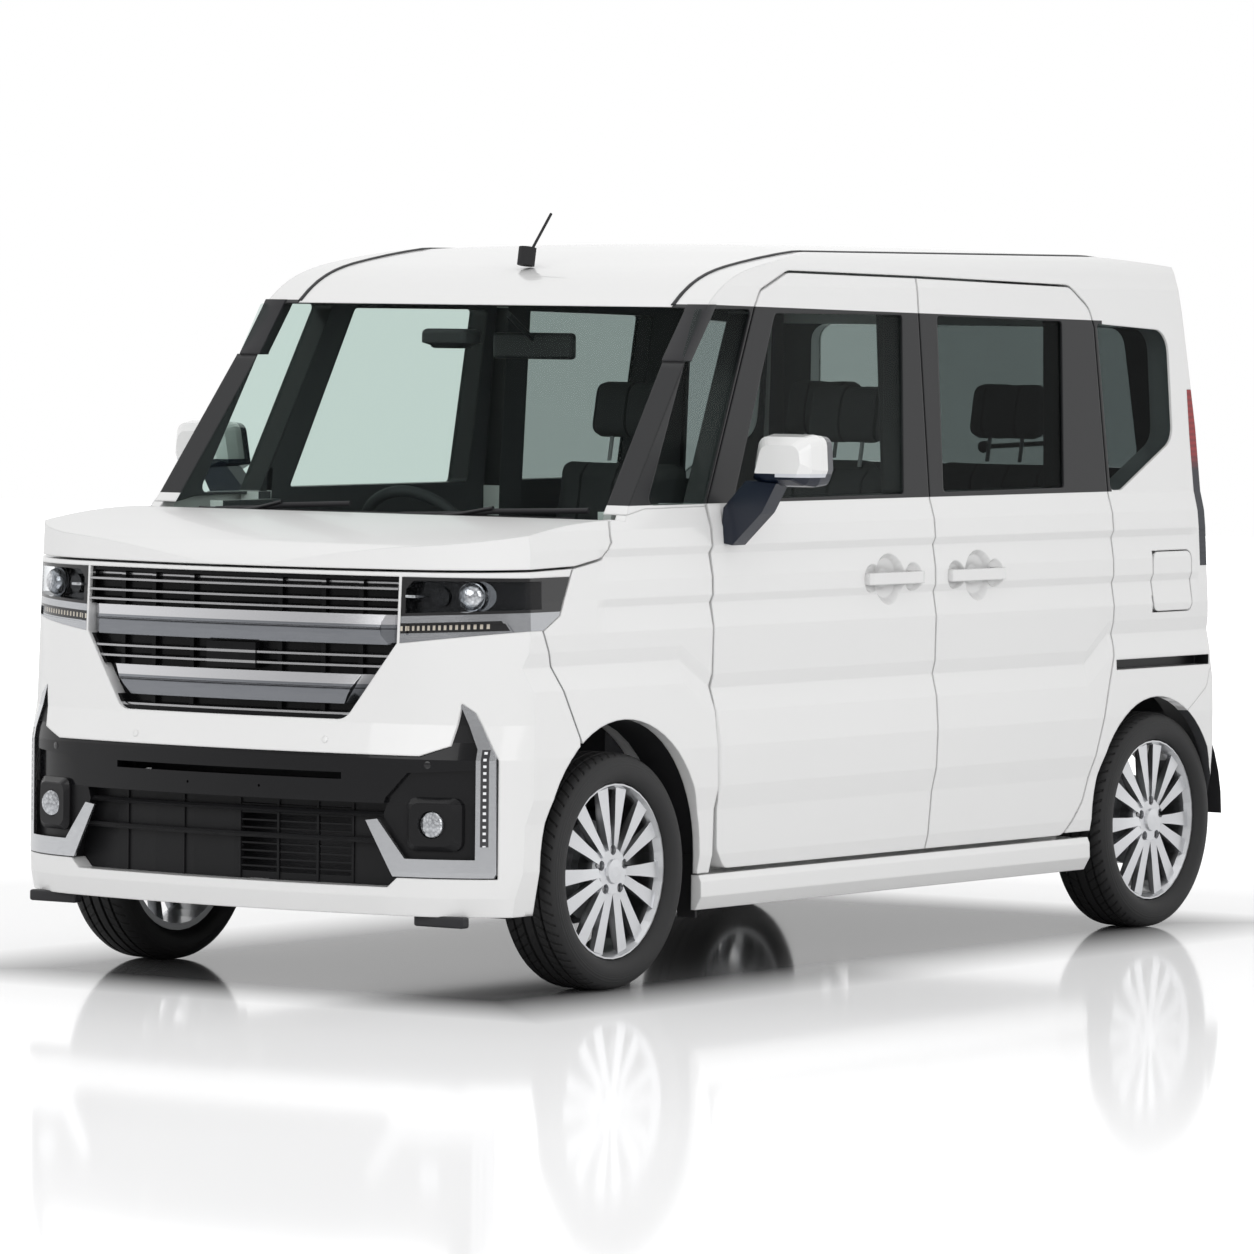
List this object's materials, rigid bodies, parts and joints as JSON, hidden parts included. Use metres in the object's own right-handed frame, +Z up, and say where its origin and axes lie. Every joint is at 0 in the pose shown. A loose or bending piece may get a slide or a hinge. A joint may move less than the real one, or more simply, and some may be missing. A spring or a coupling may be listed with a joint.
{
  "type": "kei car",
  "caption": "Tall-box kei wagon with hinged front doors, bonnet and tailgate, steered front wheels, sliding rear doors.",
  "frame": {"origin": "on the ground under the middle of the car", "axes": "+Z up, -Y towards the front, +X towards the car's left side"},
  "size_m": [1.926, 3.3935, 1.8354],
  "materials": {
    "paint": "gloss",
    "black_trim": "satin",
    "gloss_black": "gloss",
    "bright": "polished",
    "lamp": "gloss",
    "tail_lens": "gloss",
    "clear_glass": "gloss",
    "dark_glass": "gloss",
    "alloy": "satin",
    "tyre": "matte",
    "chassis": "satin",
    "cast": "matte",
    "steel": "satin",
    "cabin_plastic": "matte",
    "seat_cloth": "matte",
    "mirror_paint": "gloss",
    "rubber": "matte"
  },
  "bodies": {
    "shell": {"body_frame": "paint", "front_frame": "chassis", "roof_panel": "paint", "floor_pan": "chassis", "front_fenders": "paint", "front_bumper": "paint", "bumper_insert": "black_trim", "fog_trims": "bright", "grille": "gloss_black", "grille_bars": "bright", "headlamps": "lamp", "headlamp_lenses": "clear_glass", "windscreen": "clear_glass", "quarter_glass": "dark_glass", "sliding_door_left": "paint", "sliding_door_right": "paint", "sliding_door_glass": "dark_glass", "rear_bumper": "paint", "tail_lamps": "tail_lens", "side_skirts": "paint", "dashboard": "cabin_plastic", "front_seats": "seat_cloth", "rear_seats": "seat_cloth", "engine_block": "cast", "radiator": "chassis", "front_suspension": "chassis", "rear_axle": "chassis", "exhaust": "steel", "fuel_tank": "chassis", "antenna": "rubber", "mud_flaps": "rubber"},
    "door_left": {"front_door_left": "paint", "front_door_glass_left": "clear_glass", "door_mirror_left": "mirror_paint"},
    "knuckle_left": {"knuckle_left": "cast"},
    "wheel_front_left": {"wheel_front_left": "alloy", "tyre_front_left": "tyre"},
    "wheel_rear_left": {"wheel_rear_left": "alloy", "tyre_rear_left": "tyre"},
    "door_right": {"front_door_right": "paint", "front_door_glass_right": "clear_glass", "door_mirror_right": "mirror_paint"},
    "knuckle_right": {"knuckle_right": "cast"},
    "wheel_front_right": {"wheel_front_right": "alloy", "tyre_front_right": "tyre"},
    "wheel_rear_right": {"wheel_rear_right": "alloy", "tyre_rear_right": "tyre"},
    "bonnet": {"bonnet": "paint"},
    "tailgate": {"tailgate": "paint", "tailgate_glass": "dark_glass"},
    "fuel_lid": {"fuel_lid": "paint"},
    "steering_wheel": {"steering_wheel": "cabin_plastic"}
  },
  "joints": [
    {"name": "front_door_left_hinge", "type": "hinge", "parent": "shell", "child": "door_left", "pos_m": [0.6975, -0.672, 0.7], "axis": [0, 0, -1], "range_deg": [0, 65]},
    {"name": "steer_left", "type": "hinge", "parent": "shell", "child": "knuckle_left", "pos_m": [0.588, -1.1, 0.165], "axis": [-0.1853, 0, 0.9827], "range_deg": [-35, 35]},
    {"name": "wheel_front_left_spin", "type": "hinge", "parent": "knuckle_left", "child": "wheel_front_left", "pos_m": [0.645, -1.1, 0.281], "axis": [1, 0, 0], "continuous": true},
    {"name": "wheel_rear_left_spin", "type": "hinge", "parent": "shell", "child": "wheel_rear_left", "pos_m": [0.645, 1.36, 0.281], "axis": [1, 0, 0], "continuous": true},
    {"name": "front_door_right_hinge", "type": "hinge", "parent": "shell", "child": "door_right", "pos_m": [-0.6975, -0.672, 0.7], "axis": [0, 0, 1], "range_deg": [0, 65]},
    {"name": "steer_right", "type": "hinge", "parent": "shell", "child": "knuckle_right", "pos_m": [-0.588, -1.1, 0.165], "axis": [0.1853, 0, 0.9827], "range_deg": [-35, 35]},
    {"name": "wheel_front_right_spin", "type": "hinge", "parent": "knuckle_right", "child": "wheel_front_right", "pos_m": [-0.645, -1.1, 0.281], "axis": [1, 0, 0], "continuous": true},
    {"name": "wheel_rear_right_spin", "type": "hinge", "parent": "shell", "child": "wheel_rear_right", "pos_m": [-0.645, 1.36, 0.281], "axis": [1, 0, 0], "continuous": true},
    {"name": "bonnet_hinge", "type": "hinge", "parent": "shell", "child": "bonnet", "pos_m": [0, -1.085, 1.078], "axis": [-1, 0, 0], "range_deg": [0, 50]},
    {"name": "tailgate_hinge", "type": "hinge", "parent": "shell", "child": "tailgate", "pos_m": [0, 1.545, 1.69], "axis": [1, 0, 0], "range_deg": [0, 80]},
    {"name": "fuel_lid_hinge", "type": "hinge", "parent": "shell", "child": "fuel_lid", "pos_m": [0.7135, 1.337, 0.9], "axis": [0, 0, 1], "range_deg": [-80, 0]},
    {"name": "steering_wheel_turn", "type": "hinge", "parent": "shell", "child": "steering_wheel", "pos_m": [-0.345, -0.43, 0.985], "axis": [0, 0.8829, 0.4695], "range_deg": [-560, 560]}
  ],
  "couplings": [
    {"joint": "steer_right", "follows": "steer_left", "ratio": 1},
    {"joint": "steering_wheel_turn", "follows": "steer_left", "ratio": 16}
  ]
}
